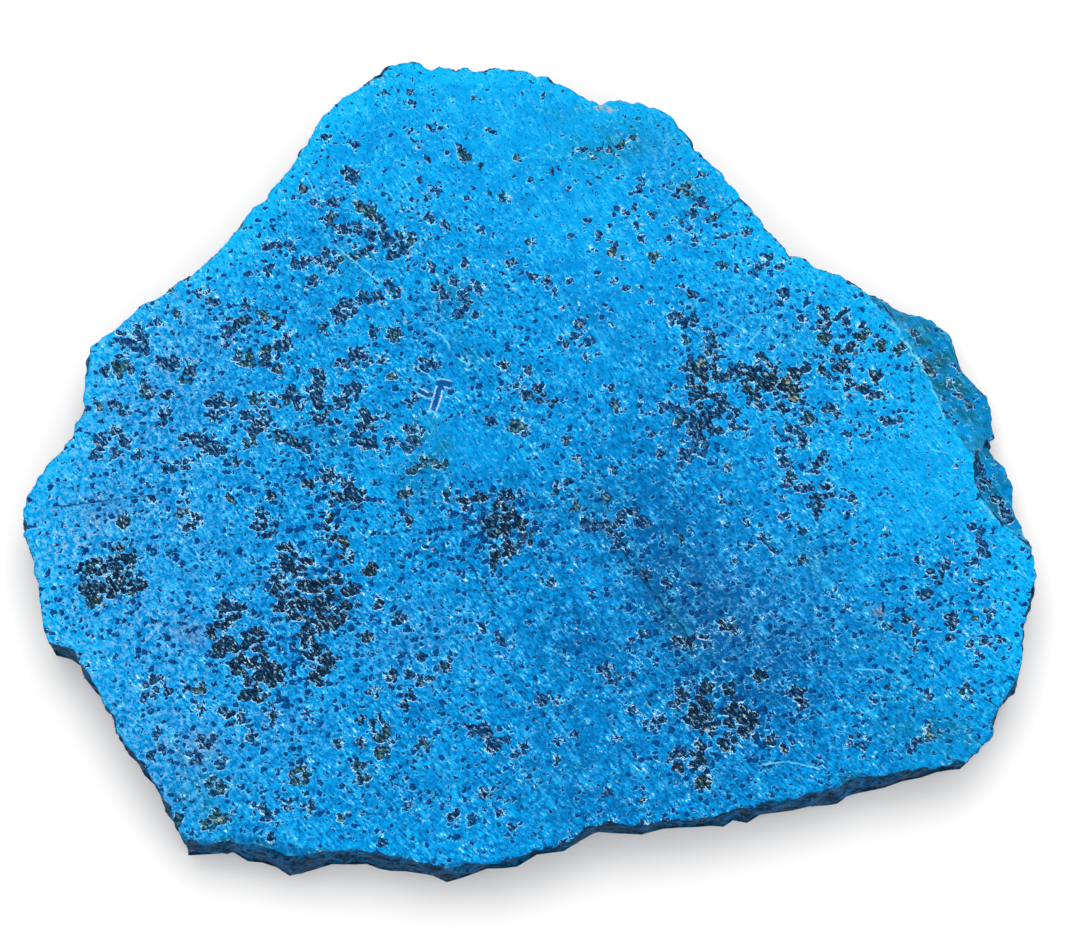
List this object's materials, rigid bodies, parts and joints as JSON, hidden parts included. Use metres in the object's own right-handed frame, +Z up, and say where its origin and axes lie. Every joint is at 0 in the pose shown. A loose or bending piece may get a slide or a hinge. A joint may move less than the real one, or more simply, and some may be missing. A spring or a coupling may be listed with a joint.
{
  "type": "turquoise slab",
  "caption": "Sawn slab of natural blue turquoise with dark matrix specks, flat on both faces, with a broken, weathered edge and one sloping band of skin.",
  "frame": {"origin": "middle of the slab's plan outline, on the flat sawn underside it lies on", "axes": "+X along the longest extent, +Y to the slab's rounded top edge, +Z up out of the sawn top face"},
  "size_m": [0.0852, 0.0706, 0.0055],
  "materials": {
    "turquoise": "sawn, half-polished azure turquoise with navy to black matrix specks"
  },
  "bodies": {
    "root": {"turquoise_slab": "turquoise"}
  },
  "joints": []
}
